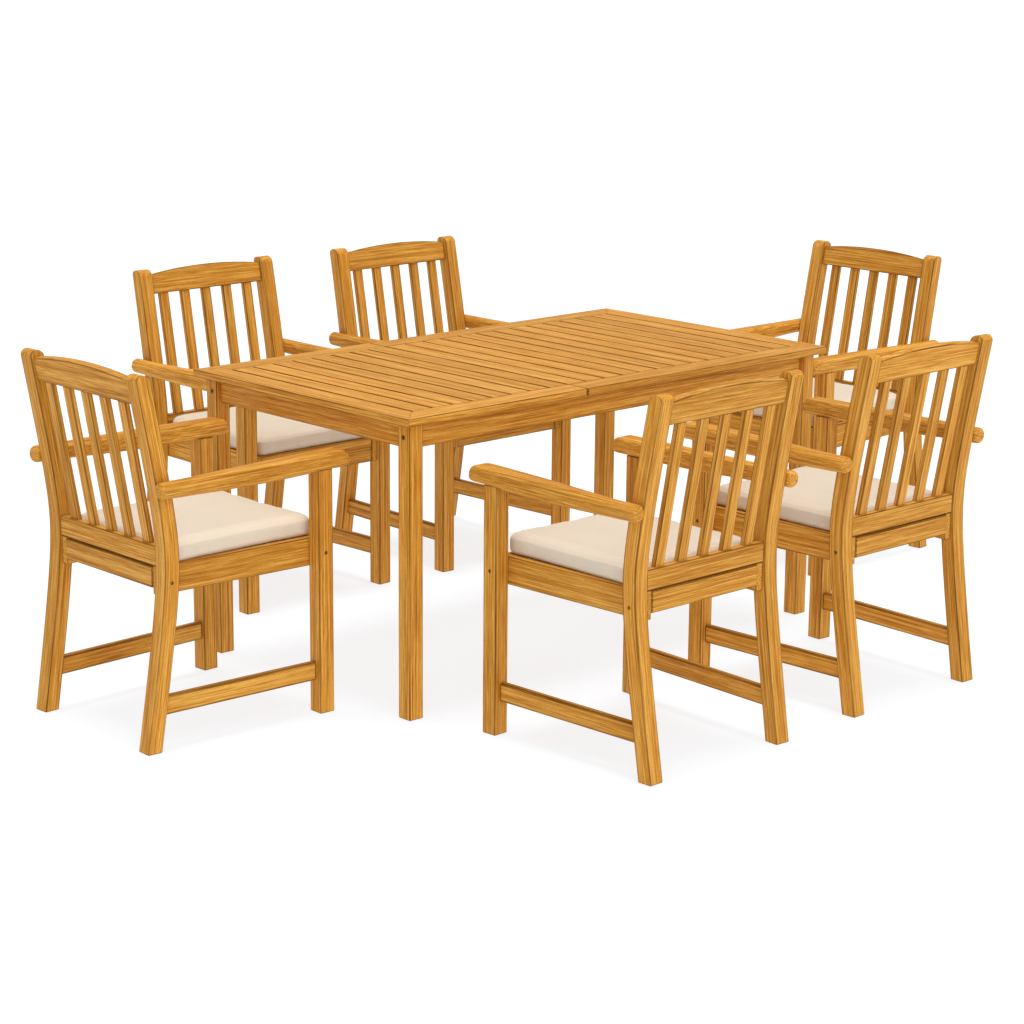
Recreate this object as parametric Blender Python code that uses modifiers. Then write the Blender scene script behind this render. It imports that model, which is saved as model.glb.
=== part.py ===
"""Slatted timber patio dining set: one table, six armchairs and six loose seat cushions.

Metres, +Z up, floor at z = 0. The origin is the middle of the whole layout on the floor.
+X runs along the table, +Y across it. A chair's own frame has +X forward and +Y to the
sitter's left, with its origin on the floor midway between the fronts of its front legs.
"""

import math

import bmesh
import bpy
from mathutils import Matrix, Vector

GAP = 0.0004  # clearance between pieces that touch
NUDGE = 0.001  # keeps the faces of boards that are fused from lying in one plane
OVERLAP = 0.006  # how far fused boards run into each other

# Table
TABLE_LENGTH = 1.500
TABLE_WIDTH = 0.844
TABLE_HEIGHT = 0.750
BOARD = 0.019  # thickness of the boards of the top
BORDER = 0.070  # width of the rails round the top
SLAT_GAP = 0.005
LEFT_SLATS = 8
RIGHT_SLATS = 13
TABLE_LEG = 0.042
LEG_INSET = 0.024  # from the edge of the top to a leg's outer face
APRON_HEIGHT = 0.062
APRON_THICK = 0.022
APRON_SETBACK = 0.013  # from a leg's outer face to the apron's
APRON_END_ROUND = 0.008
BATTEN_WIDTH = 0.040
BATTEN_THICK = 0.018
BATTEN_HOUSING = 0.002  # how far a batten is let into the slats
BATTEN_OFFSET = 0.220  # from the table's long centre line
BATTEN_END = 0.004  # from a panel's outermost slat edge to the batten's end
BEARER_WIDTH = 0.045
BEARER_HEIGHT = 0.038

# Leg bolts of the table, one along the long apron at each leg
BOLT_RADIUS = 0.003
BOLT_LENGTH = 0.075
HEAD_RADIUS = 0.0065
HEAD_THICK = 0.005
HEAD_SINK = 0.002  # from the leg's face to the bolt head
BOLT_CLEARANCE = 0.0005
BOLT_HOLE_SPARE = 0.002  # room beyond the bolt's tip
HOLE_RUN_OUT = 0.010  # how far a cutter starts outside the leg
BOLT_BELOW_TOP = 0.053
BOLT_SIDES = 12

# Chair
FRONT_HALF = 0.2587  # centre line to a front leg's outer face
REAR_HALF = 0.2388  # centre line to a rear leg's outer face
CHAIR_LEG = 0.042
REAR_DEPTH = 0.039  # rear leg, front to back
REAR_CENTRE = 0.4575  # front of the front leg to the rear leg's middle at its waist
WAIST = 0.455  # height where the rear leg is upright
WAIST_ROUND = 0.021
FOOT_RAKE = 0.17
BACK_RAKE = 0.20
POST_TOP = 0.893
POST_ROUND = 0.016
STRETCHER_LOW, STRETCHER_HIGH = 0.083, 0.129
STRETCHER_THICK = 0.020
STRETCHER_SETBACK = 0.015
ARM_TOP = 0.648
ARM_BOTTOM = 0.608
ARM_NOSE = 0.052  # how far the arm reaches in front of the front leg
ARM_NOSE_ROUND = 0.026
ARM_NOSE_PINCH = 0.006  # how far each side draws in round the nose
ARM_REAR = 0.505
ARM_REAR_ROUND = 0.010
ARM_JOINT = 0.4375  # where the arm's inner edge meets the rear leg's outer face
ARM_OVERHANG = 0.006
ARM_FRONT_WIDTH = 0.053
ARM_REAR_WIDTH = 0.040
ARM_BELLY = 0.005
ARM_FLAT = 0.048  # how far back from the front leg's front its underside stays flat
ARM_CHAMFER = 0.008
SEAT_LOW, SEAT_HIGH = 0.365, 0.434
SEAT_RAIL = 0.020
FRONT_RAIL_SETBACK = 0.009
REAR_RAIL_LOW, REAR_RAIL_HIGH = 0.380, 0.430
REAR_RAIL_BACK = 0.472
SEAT_SLATS = 7
SEAT_SLAT_WIDTH = 0.050
SEAT_SLAT_THICK = 0.014
SEAT_SLAT_SINK = 0.0015  # from the rails' top edge to the slats'
BACK_RAIL_LOW, BACK_RAIL_HIGH = 0.435, 0.483
BACK_RAIL_THICK = 0.022
BACK_SLATS = 5
BACK_SLAT_WIDTH = 0.030
BACK_SLAT_THICK = 0.013
BACK_SLAT_PITCH = 0.074
CREST_LOW = 0.822
CREST_END_HIGH = 0.877
CREST_RISE = 0.014
CREST_THICK = 0.023
CUSHION_WIDTH = 0.410
CUSHION_DEPTH = 0.435
CUSHION_THICK = 0.050
CUSHION_FRONT = 0.004
CUSHION_LOW = 0.4365
CUSHION_ROUND = 0.016

# Where each chair stands: the middle of its front, from the table's centre, and its heading
CHAIRS = {
    "left_end_chair": (-0.809, 0.046, 0.0),
    "near_left_chair": (-0.391, -0.573, 90.0),
    "near_right_chair": (0.334, -0.561, 90.0),
    "far_left_chair": (-0.193, 0.602, -90.0),
    "far_right_chair": (0.509, 0.582, -90.0),
    "right_end_chair": (1.032, 0.071, 180.0),
}

FRAME_ANGLE = math.atan((FRONT_HALF - REAR_HALF) / REAR_CENTRE)


def clear_scene():
    for old in list(bpy.data.objects):
        bpy.data.objects.remove(old, do_unlink=True)


def new_collection(name):
    made = bpy.data.collections.new(name)
    bpy.context.scene.collection.children.link(made)
    return made


def new_material(name, colour, roughness):
    made = bpy.data.materials.new(name)
    made.use_nodes = True
    shader = made.node_tree.nodes["Principled BSDF"]
    shader.inputs["Base Color"].default_value = (*colour, 1.0)
    shader.inputs["Roughness"].default_value = roughness
    shader.inputs["Metallic"].default_value = 0.0
    return made


def mesh_of(bm, name):
    bmesh.ops.recalc_face_normals(bm, faces=bm.faces)
    mesh = bpy.data.meshes.new(name)
    bm.to_mesh(mesh)
    bm.free()
    return mesh


def stock(mesh):
    """A loose piece of stock, kept out of the finished set until it is fused or cut."""
    piece = bpy.data.objects.new(mesh.name, mesh)
    piece.hide_render = True
    piece.display_type = "WIRE"
    CUTTERS.objects.link(piece)
    return piece


def box(low, high, matrix=None):
    low, high = Vector(low), Vector(high)
    bm = bmesh.new()
    size = Matrix.Diagonal((*(high - low), 1.0))
    bmesh.ops.create_cube(bm, size=1.0, matrix=Matrix.Translation((low + high) / 2) @ size)
    if matrix is not None:
        bmesh.ops.transform(bm, matrix=matrix, verts=bm.verts)
    return stock(mesh_of(bm, "box"))


def rod(radius, start, end):
    """A round bar along X."""
    bm = bmesh.new()
    bmesh.ops.create_cone(
        bm,
        cap_ends=True,
        segments=BOLT_SIDES,
        radius1=radius,
        radius2=radius,
        depth=abs(end.x - start.x),
        matrix=Matrix.Translation((start + end) / 2) @ Matrix.Rotation(math.pi / 2, 4, "Y"),
    )
    return stock(mesh_of(bm, "rod"))


def slab(outline, thickness, matrix):
    """A flat outline in local XY, as thick as given about its own plane, then moved by the matrix."""
    curve = bpy.data.curves.new("slab", "CURVE")
    curve.dimensions = "2D"
    curve.fill_mode = "BOTH"
    curve.extrude = thickness / 2
    spline = curve.splines.new("POLY")
    spline.points.add(len(outline) - 1)
    for point, (x, y) in zip(spline.points, outline):
        point.co = (x, y, 0.0, 1.0)
    spline.use_cyclic_u = True
    guide = bpy.data.objects.new("slab", curve)
    CUTTERS.objects.link(guide)
    mesh = baked(guide)
    bm = bmesh.new()
    bm.from_mesh(mesh)
    bmesh.ops.remove_doubles(bm, verts=bm.verts, dist=1e-6)
    bmesh.ops.transform(bm, matrix=matrix, verts=bm.verts)
    return stock(mesh_of(bm, "slab"))


def baked(piece):
    """The piece's evaluated mesh, and the piece itself removed."""
    bpy.context.view_layer.update()
    graph = bpy.context.evaluated_depsgraph_get()
    mesh = bpy.data.meshes.new_from_object(piece.evaluated_get(graph))
    bpy.data.objects.remove(piece, do_unlink=True)
    return mesh


def combined(base, others, operation):
    for other in others:
        step = base.modifiers.new(operation, "BOOLEAN")
        step.operation = operation
        step.solver = "EXACT"
        step.object = other
    mesh = baked(base)
    for other in others:
        bpy.data.objects.remove(other, do_unlink=True)
    return mesh


def fused(pieces):
    return combined(pieces[0], pieces[1:], "UNION")


def dressed(name, mesh, material):
    """The mesh, named and with its one material."""
    mesh.name = name
    mesh.materials.clear()
    mesh.materials.append(material)
    return mesh


def finished(name, mesh, parent):
    """A named part of the set."""
    part = bpy.data.objects.new(name, mesh)
    part.parent = parent
    PARTS.objects.link(part)


def mirrored(mesh):
    """The same piece for the other side of a chair."""
    copy = mesh.copy()
    copy.transform(Matrix.Scale(-1.0, 4, (0.0, 1.0, 0.0)))
    copy.flip_normals()
    return copy


def loft(rings):
    """A closed solid through rings of equally many points."""
    bm = bmesh.new()
    rows = [[bm.verts.new(point) for point in ring] for ring in rings]
    for row, following in zip(rows, rows[1:]):
        for i in range(len(row)):
            j = (i + 1) % len(row)
            bm.faces.new((row[i], row[j], following[j], following[i]))
    bm.faces.new(rows[0])
    bm.faces.new(rows[-1])
    return mesh_of(bm, "loft")


# ---------------------------------------------------------------- chair geometry


def lean(height):
    """How far the rear leg stands behind its waist at this height."""
    rake = BACK_RAKE if height > WAIST else FOOT_RAKE
    return math.hypot(WAIST_ROUND, rake * (height - WAIST)) - WAIST_ROUND


def side_matrix():
    """Side frame coordinates (rearward, inward, up) to the chair's, for the sitter's left."""
    cosine, sine = math.cos(FRAME_ANGLE), math.sin(FRAME_ANGLE)
    return Matrix(
        (
            (-cosine, sine, 0.0, 0.0),
            (-sine, -cosine, 0.0, FRONT_HALF),
            (0.0, 0.0, 1.0, 0.0),
            (0.0, 0.0, 0.0, 1.0),
        )
    )


def side_face(x, inset=0.0):
    """Half width of the chair at the side frame's face, this far in from its outer face."""
    return FRONT_HALF + x * math.tan(FRAME_ANGLE) - inset / math.cos(FRAME_ANGLE)


def rear_leg():
    """The curved rear leg with its rounded top, as a slab in the side frame's plane."""
    shoulder = POST_TOP - POST_ROUND
    heights = [0.0, 0.09, 0.18, 0.27, 0.35, 0.41, 0.50, 0.56, 0.64, 0.73, shoulder]
    half = REAR_DEPTH / 2
    middle = [(REAR_CENTRE + lean(z), z) for z in heights]
    front = [(a - half, z) for a, z in middle]
    back = [(a + half, z) for a, z in reversed(middle)]
    crown = []
    for step in range(1, 6):
        angle = math.pi * step / 6
        top = shoulder + POST_ROUND * math.sin(angle)
        crown.append((REAR_CENTRE + lean(top) - half * math.cos(angle), top))
    upright = Matrix(((1, 0, 0, 0), (0, 0, 1, CHAIR_LEG / 2), (0, 1, 0, 0), (0, 0, 0, 1)))
    return slab(front + crown + back, CHAIR_LEG, side_matrix() @ upright)


def side_frame():
    """Front leg, curved rear leg and the stretcher tenoned between them."""
    place = side_matrix()
    leg = box((0.0, 0.0, 0.0), (CHAIR_LEG, CHAIR_LEG, ARM_BOTTOM - GAP), place)
    middle = (STRETCHER_LOW + STRETCHER_HIGH) / 2
    stretcher = box(
        (CHAIR_LEG - OVERLAP, STRETCHER_SETBACK, STRETCHER_LOW),
        (REAR_CENTRE + lean(middle), STRETCHER_SETBACK + STRETCHER_THICK, STRETCHER_HIGH),
        place,
    )
    return fused([leg, stretcher, rear_leg()])


def seat_frame():
    """Trapezoid box of four rails with slats let into its side rails."""
    outer = CHAIR_LEG + GAP
    flip = Matrix.Scale(-1.0, 4, (0.0, 1.0, 0.0))
    pieces = []
    for side in (side_matrix(), flip @ side_matrix()):
        front_corner = (FRONT_RAIL_SETBACK, outer, SEAT_LOW)
        rear_corner = (REAR_RAIL_BACK, outer + SEAT_RAIL, SEAT_HIGH)
        pieces.append(box(front_corner, rear_corner, side))
    first = FRONT_RAIL_SETBACK + SEAT_RAIL
    last = REAR_RAIL_BACK - SEAT_RAIL
    between = (last - first - SEAT_SLATS * SEAT_SLAT_WIDTH) / (SEAT_SLATS + 1)
    slat_top = SEAT_HIGH - SEAT_SLAT_SINK
    boards = [
        (FRONT_RAIL_SETBACK + NUDGE, SEAT_RAIL, SEAT_LOW + NUDGE, SEAT_HIGH - NUDGE),
        (last - NUDGE, SEAT_RAIL, REAR_RAIL_LOW, REAR_RAIL_HIGH),
    ]
    for i in range(SEAT_SLATS):
        front = first + between + i * (SEAT_SLAT_WIDTH + between)
        boards.append((front, SEAT_SLAT_WIDTH, slat_top - SEAT_SLAT_THICK, slat_top))
    for front, width, low, high in boards:
        half = side_face(-front - width, outer) - SEAT_RAIL / 2  # to the middle of the side rails
        pieces.append(box((-front - width, -half, low), (-front, half, high)))
    return fused(pieces)


def back_board(outline, thickness, centre, rake):
    """A board across the back: outline in (across, up the back) about its centre line."""
    tilt = Matrix.Rotation(-rake, 4, "Y")
    stand = Matrix(((0, 0, 1, 0), (1, 0, 0, 0), (0, 1, 0, 0), (0, 0, 0, 1)))
    return slab(outline, thickness, Matrix.Translation(centre) @ tilt @ stand)


def crest_outline(half, low, high, rise):
    arch = []
    for step in range(9):
        across = half - 2 * half * step / 8
        arch.append((across, high + rise * (1 - (across / half) ** 2)))
    return [(-half, low), (half, low)] + arch


def back_panel():
    """Arched crest rail, lower back rail and the upright slats between them."""
    clear = side_face(-REAR_RAIL_BACK, CHAIR_LEG) - GAP
    rail = box(
        (-REAR_RAIL_BACK, -clear, BACK_RAIL_LOW),
        (-REAR_RAIL_BACK + BACK_RAIL_THICK, clear, BACK_RAIL_HIGH),
    )
    middle = (CREST_LOW + CREST_END_HIGH) / 2
    behind = REAR_CENTRE + lean(middle)
    rake = math.atan((lean(CREST_END_HIGH) - lean(CREST_LOW)) / (CREST_END_HIGH - CREST_LOW))
    half = side_face(-behind - CREST_THICK, CHAIR_LEG) - GAP
    crest = back_board(
        crest_outline(half, CREST_LOW - middle, CREST_END_HIGH - middle, CREST_RISE),
        CREST_THICK,
        (-behind, 0.0, middle),
        rake,
    )
    foot = Vector((-REAR_CENTRE - lean(BACK_RAIL_HIGH) + NUDGE, 0.0, BACK_RAIL_HIGH - OVERLAP))
    head = Vector((-behind + NUDGE, 0.0, CREST_LOW + OVERLAP))
    rise = head - foot
    pieces = [rail, crest]
    for i in range(BACK_SLATS):
        across = (i - (BACK_SLATS - 1) / 2) * BACK_SLAT_PITCH
        side = BACK_SLAT_WIDTH / 2
        length = rise.length / 2
        outline = [(-side, -length), (side, -length), (side, length), (-side, length)]
        centre = (foot + head) / 2 + Vector((0.0, across, 0.0))
        pieces.append(back_board(outline, BACK_SLAT_THICK, centre, math.atan(-rise.x / rise.z)))
    return fused(pieces)


def rounded(along, radius):
    """How far a round corner has come in, this far along it."""
    return radius - math.sqrt(max(0.0, radius**2 - along**2))


def arm_ring(x):
    """The arm's section at this place along the chair, an oblong with chamfered corners."""
    run = (ARM_NOSE - x) / (ARM_NOSE + ARM_REAR)
    belly = ARM_BELLY * math.sin(math.pi * run) if x < -ARM_FLAT else 0.0
    front_outer = FRONT_HALF + ARM_OVERHANG
    rear_outer = side_face(-ARM_REAR) + ARM_REAR_WIDTH
    outer = front_outer + (rear_outer - front_outer) * run
    front_inner = front_outer - ARM_FRONT_WIDTH
    joint_inner = side_face(-ARM_JOINT) + 2 * GAP
    blend = min(max(-x / ARM_JOINT, 0.0), 1.0)
    inner = front_inner + (joint_inner - front_inner) * blend
    if x < -ARM_JOINT:
        inner = side_face(x) + 2 * GAP
    nose = rounded(max(0.0, x - ARM_NOSE + ARM_NOSE_ROUND), ARM_NOSE_ROUND)
    pinch = nose * ARM_NOSE_PINCH / ARM_NOSE_ROUND
    shrink = rounded(max(0.0, -x - ARM_REAR + ARM_REAR_ROUND), ARM_REAR_ROUND)
    top = ARM_TOP - nose - shrink
    bottom = ARM_BOTTOM - belly + shrink
    outer -= pinch + shrink
    inner += pinch + shrink
    c = min(ARM_CHAMFER, (top - bottom) / 3)
    return [
        (x, inner + c, bottom),
        (x, outer - c, bottom),
        (x, outer, bottom + c),
        (x, outer, top - c),
        (x, outer - c, top),
        (x, inner + c, top),
        (x, inner, top - c),
        (x, inner, bottom + c),
    ]


def arm():
    nose = [
        ARM_NOSE - ARM_NOSE_ROUND * (1 - math.sin(math.radians(angle)))
        for angle in (90, 65, 50, 30, 0)
    ]
    middle = [-ARM_FLAT, -0.10, -0.19, -0.28, -0.37, -ARM_JOINT]
    rear = [
        -ARM_REAR + ARM_REAR_ROUND * (1 - math.sin(math.radians(angle)))
        for angle in (0, 45, 90)
    ]
    return loft([arm_ring(x) for x in nose + middle + rear])


def cushion():
    """Plain boxed pad with eased edges."""
    half = CUSHION_WIDTH / 2
    pad = box(
        (-CUSHION_FRONT - CUSHION_DEPTH, -half, CUSHION_LOW),
        (-CUSHION_FRONT, half, CUSHION_LOW + CUSHION_THICK),
    )
    ease = pad.modifiers.new("ease", "BEVEL")
    ease.width = CUSHION_ROUND
    ease.segments = 2
    return baked(pad)


# ---------------------------------------------------------------- table geometry


def slat_pitch():
    slats = LEFT_SLATS + RIGHT_SLATS
    clear = TABLE_LENGTH - 2 * BORDER
    return (clear - SLAT_GAP) / slats


def seam():
    """Where the short panel of the top meets the long one, from the table's centre."""
    return -TABLE_LENGTH / 2 + BORDER + LEFT_SLATS * slat_pitch() + SLAT_GAP / 2


def top_frame(side):
    """Border of one panel: an end rail and the two long rails that run from it to the seam."""
    end = side * TABLE_LENGTH / 2
    inner = end - side * BORDER
    meet = seam() + side * GAP
    edge = TABLE_WIDTH / 2
    rail = edge - BORDER
    outline = [
        (end, -edge),
        (end, edge),
        (meet, edge),
        (meet, rail),
        (inner, rail),
        (inner, -rail),
        (meet, -rail),
        (meet, -edge),
    ]
    return baked(slab(outline, BOARD, Matrix.Translation((0.0, 0.0, TABLE_HEIGHT - BOARD / 2))))


def top_slats(first, count):
    """Slats of one panel on the two battens that hold them together."""
    pitch = slat_pitch()
    start = -TABLE_LENGTH / 2 + BORDER + SLAT_GAP + first * pitch
    half = TABLE_WIDTH / 2 - BORDER - GAP
    under = TABLE_HEIGHT - BOARD
    pieces = []
    batten_start = start + BATTEN_END
    batten_end = start + count * pitch - SLAT_GAP - BATTEN_END
    for y in (-BATTEN_OFFSET, BATTEN_OFFSET):
        near, far = y - BATTEN_WIDTH / 2, y + BATTEN_WIDTH / 2
        low_corner = (batten_start, near, under - BATTEN_THICK)
        pieces.append(box(low_corner, (batten_end, far, under + BATTEN_HOUSING)))
    for i in range(count):
        left = start + i * pitch
        pieces.append(box((left, -half, under), (left + pitch - SLAT_GAP, half, TABLE_HEIGHT)))
    return fused(pieces)


def leg_corner(side, across):
    """A leg's outer corner, from the table's centre."""
    return side * (TABLE_LENGTH / 2 - LEG_INSET), across * (TABLE_WIDTH / 2 - LEG_INSET)


def bolt_line(side, across):
    """Start of the bolt at the leg's end face, and the way it runs."""
    x, y = leg_corner(side, across)
    apron = y - across * (APRON_SETBACK + APRON_THICK / 2)
    return Vector((x, apron, TABLE_HEIGHT - BOLT_BELOW_TOP)), Vector((-side, 0.0, 0.0))


def bolt_holes(side, across):
    start, way = bolt_line(side, across)
    outside = start - way * HOLE_RUN_OUT
    shank_end = start + way * (HEAD_SINK + BOLT_LENGTH + BOLT_HOLE_SPARE)
    sink_end = start + way * (HEAD_SINK + HEAD_THICK + BOLT_CLEARANCE)
    shank = rod(BOLT_RADIUS + BOLT_CLEARANCE, outside, shank_end)
    sink = rod(HEAD_RADIUS + BOLT_CLEARANCE, outside, sink_end)
    return [shank, sink]


def table_leg(side, across):
    x, y = leg_corner(side, across)
    inner_x, inner_y = x - side * TABLE_LEG, y - across * TABLE_LEG
    post = box(
        (min(x, inner_x), min(y, inner_y), 0.0),
        (max(x, inner_x), max(y, inner_y), TABLE_HEIGHT - BOARD - GAP),
    )
    return combined(post, bolt_holes(side, across), "DIFFERENCE")


def bolt(side, across):
    start, way = bolt_line(side, across)
    under_head = start + way * (HEAD_SINK + HEAD_THICK)
    head = rod(HEAD_RADIUS, start + way * HEAD_SINK, under_head)
    shank = rod(BOLT_RADIUS, under_head - way * NUDGE, start + way * (HEAD_SINK + BOLT_LENGTH))
    return fused([head, shank])


def apron_outline(half):
    """A board seen square on, with its two lower corners rounded."""
    r = APRON_END_ROUND
    points = [(half, APRON_HEIGHT), (-half, APRON_HEIGHT)]
    for centre, first in ((-half + r, 180), (half - r, 270)):
        for step in range(4):
            angle = math.radians(first + 30 * step)
            points.append((centre + r * math.cos(angle), r + r * math.sin(angle)))
    return points


def apron_low():
    return TABLE_HEIGHT - BOARD - GAP - APRON_HEIGHT


def long_apron(across):
    half = TABLE_LENGTH / 2 - LEG_INSET - TABLE_LEG - GAP
    y = across * (TABLE_WIDTH / 2 - LEG_INSET - APRON_SETBACK - APRON_THICK / 2)
    stand = Matrix(((1, 0, 0, 0), (0, 0, 1, y), (0, 1, 0, apron_low()), (0, 0, 0, 1)))
    board = slab(apron_outline(half), APRON_THICK, stand)
    holes = [hole for side in (-1, 1) for hole in bolt_holes(side, across)]
    return combined(board, holes, "DIFFERENCE")


def end_apron(side):
    half = TABLE_WIDTH / 2 - LEG_INSET - TABLE_LEG - GAP
    x = side * (TABLE_LENGTH / 2 - LEG_INSET - APRON_SETBACK - APRON_THICK / 2)
    stand = Matrix(((0, 0, 1, x), (1, 0, 0, 0), (0, 1, 0, apron_low()), (0, 0, 0, 1)))
    return baked(slab(apron_outline(half), APRON_THICK, stand))


def bearer(x):
    """Cross bearer between the long aprons, under the battens."""
    half = TABLE_WIDTH / 2 - LEG_INSET - APRON_SETBACK - APRON_THICK - GAP
    top = TABLE_HEIGHT - BOARD - BATTEN_THICK - GAP
    left, right = x - BEARER_WIDTH / 2, x + BEARER_WIDTH / 2
    return baked(box((left, -half, top - BEARER_HEIGHT), (right, half, top)))


# ---------------------------------------------------------------- the set


def layout_shift():
    """Moves the table's centre so that the whole layout is centred on the origin."""
    behind = REAR_CENTRE + lean(POST_TOP - POST_ROUND) + REAR_DEPTH / 2
    reach = behind * math.cos(FRAME_ANGLE)
    xs, ys = [], []
    for x, y, heading in CHAIRS.values():
        turn = math.radians(heading)
        xs.append(x - reach * math.cos(turn))
        ys.append(y - reach * math.sin(turn))
    return Vector((-(min(xs) + max(xs)) / 2, -(min(ys) + max(ys)) / 2, 0.0))


def empty(name, location, heading=0.0):
    made = bpy.data.objects.new(name, None)
    made.location = location
    made.rotation_euler = (0.0, 0.0, math.radians(heading))
    PARTS.objects.link(made)
    return made


def build_table(centre):
    anchor = empty("table", centre)
    sides = {-1: "left", 1: "right"}
    across = {-1: "near", 1: "far"}
    meshes = {
        "left_top_frame": top_frame(-1),
        "right_top_frame": top_frame(1),
        "left_top_slats": top_slats(0, LEFT_SLATS),
        "right_top_slats": top_slats(LEFT_SLATS, RIGHT_SLATS),
        "seam_bearer": bearer(seam()),
        "right_bearer": bearer((seam() + TABLE_LENGTH / 2 - BORDER) / 2),
    }
    for side, side_name in sides.items():
        meshes[f"{side_name}_apron"] = end_apron(side)
    for way, way_name in across.items():
        meshes[f"{way_name}_apron"] = long_apron(way)
        for side, side_name in sides.items():
            meshes[f"{way_name}_{side_name}_leg"] = table_leg(side, way)
            meshes[f"{way_name}_{side_name}_bolt"] = bolt(side, way)
    for piece, mesh in meshes.items():
        name = f"table_{piece}"
        finished(name, dressed(name, mesh, STEEL if "bolt" in piece else TIMBER), anchor)


def build_chairs(centre):
    left_side, left_arm = side_frame(), arm()
    meshes = {
        "left_side_frame": dressed("left_side_frame", left_side, TIMBER),
        "right_side_frame": dressed("right_side_frame", mirrored(left_side), TIMBER),
        "left_arm": dressed("left_arm", left_arm, TIMBER),
        "right_arm": dressed("right_arm", mirrored(left_arm), TIMBER),
        "seat_frame": dressed("seat_frame", seat_frame(), TIMBER),
        "back_panel": dressed("back_panel", back_panel(), TIMBER),
        "cushion": dressed("cushion", cushion(), CLOTH),
    }
    for name, (x, y, heading) in CHAIRS.items():
        anchor = empty(name, centre + Vector((x, y, 0.0)), heading)
        for piece, mesh in meshes.items():
            finished(f"{name}_{piece}", mesh, anchor)


clear_scene()
PARTS = new_collection("patio_dining_set")
CUTTERS = new_collection("cutters")
TIMBER = new_material("oiled acacia", (0.56, 0.29, 0.09), 0.5)
CLOTH = new_material("cream woven polyester", (0.83, 0.74, 0.62), 0.9)
STEEL = new_material("zinc plated steel", (0.55, 0.53, 0.50), 0.4)
STEEL.node_tree.nodes["Principled BSDF"].inputs["Metallic"].default_value = 1.0
CENTRE = layout_shift()
build_table(CENTRE)
build_chairs(CENTRE)
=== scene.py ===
"""Looks of a slatted acacia patio dining set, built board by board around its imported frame.

Every timber piece has its own object whose local X runs along the grain. A chair's pieces are
made once, in the chair's own frame, and then placed on all the chairs: there +X is forward,
+Y the sitter's left and +Z up, with the origin on the floor midway between the front legs.
"""

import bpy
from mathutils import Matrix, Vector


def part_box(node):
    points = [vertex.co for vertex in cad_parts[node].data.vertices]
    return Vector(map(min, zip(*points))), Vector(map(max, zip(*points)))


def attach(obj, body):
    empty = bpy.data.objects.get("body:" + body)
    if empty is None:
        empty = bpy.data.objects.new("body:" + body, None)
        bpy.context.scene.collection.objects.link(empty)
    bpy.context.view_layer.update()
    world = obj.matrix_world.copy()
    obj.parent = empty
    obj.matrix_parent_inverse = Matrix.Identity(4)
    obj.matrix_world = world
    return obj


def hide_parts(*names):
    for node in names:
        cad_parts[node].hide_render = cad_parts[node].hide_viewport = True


bl_info = {
    "name": "Patio Dining Set",
    "version": (1, 0, 0),
    "blender": (4, 5, 0),
    "location": "View3D > Sidebar > Patio Set",
    "description": "Boards, fixings and cushions of a patio dining set around its packed frame",
    "category": "Object",
}

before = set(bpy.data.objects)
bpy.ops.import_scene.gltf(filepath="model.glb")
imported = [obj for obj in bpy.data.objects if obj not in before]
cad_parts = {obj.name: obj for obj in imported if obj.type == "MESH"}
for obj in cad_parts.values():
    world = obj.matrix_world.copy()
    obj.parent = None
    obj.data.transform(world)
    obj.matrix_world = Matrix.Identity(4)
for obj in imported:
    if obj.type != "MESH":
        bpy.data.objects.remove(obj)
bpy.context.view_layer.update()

import functools
import math

import bmesh
import bpy
import numpy as np
from bpy.props import FloatProperty, FloatVectorProperty, IntProperty, PointerProperty, StringProperty
from bpy.types import Operator, Panel, PropertyGroup
from mathutils import Matrix, Vector

# Each chair by its name, with the way that it faces, in degrees from +X.
CHAIRS = {
    "left_end_chair": 0,
    "near_left_chair": 90,
    "near_right_chair": 90,
    "far_left_chair": -90,
    "far_right_chair": -90,
    "right_end_chair": 180,
}
TIMBER_SLOT, CLOTH_SLOT, STEEL_SLOT = "timber", "cushion_cloth", "bolt_steel"
EASE_STEPS = 3  # segments round an eased edge
CLEAR = 0.0004  # between boards that touch
RUN_OUT = 0.010  # how far a drill starts outside the wood
SHARP = math.radians(35)  # folds sharper than this are eased on timber, and shade sharp on steel
DRILL_SIDES, BOLT_SIDES = 32, 36
EDGE_OIL_AND_SHADE = 0.78  # how dark an eased edge is painted, of the most that any surface is: partly oil held in the edge, partly painted shade along it
SEAT_BOLT = (0.0035, 0.0028, 0.050)  # head thickness, shank radius and length
TAU = 2 * math.pi
ACROSS = Matrix.Scale(-1.0, 4, (0.0, 1.0, 0.0))  # mirrors a chair's left side to its right
LYING, ON_EDGE = ((0, 1, 0), (-1, 0, 0)), ((0, 1, 0), (0, 0, 1))  # a cross board's length and width
ENDS = {"left": -1, "right": 1}  # of the table, with their way along X
EDGES = {"near": -1, "far": 1}  # of the table, with their way along Y


# ---- sizes and colours


def hex_colour(text):
    """An sRGB hex colour as linear red, green and blue, with full alpha."""
    parts = [int(text[i : i + 2], 16) / 255 for i in (1, 3, 5)]
    return (*(c / 12.92 if c <= 0.04045 else ((c + 0.055) / 1.055) ** 2.4 for c in parts), 1.0)


def setting(kind, **fixed):
    """A way to describe properties of one kind. Each gets its name from its group."""
    return lambda description, default: functools.partial(
        kind, description=description, default=default, **fixed
    )


length = setting(FloatProperty, unit="LENGTH", precision=4)  # in metres
vector = setting(FloatVectorProperty, unit="LENGTH")
angle = setting(FloatProperty, subtype="ANGLE")
number = setting(FloatProperty)
count = setting(IntProperty, min=1)
colour = setting(StringProperty)  # sRGB in hex


def named(group):
    """Makes the properties of a group, each named after its attribute."""
    for key, make in group.__annotations__.items():
        group.__annotations__[key] = make(name=key.replace("_", " ").capitalize())
    return group


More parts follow.
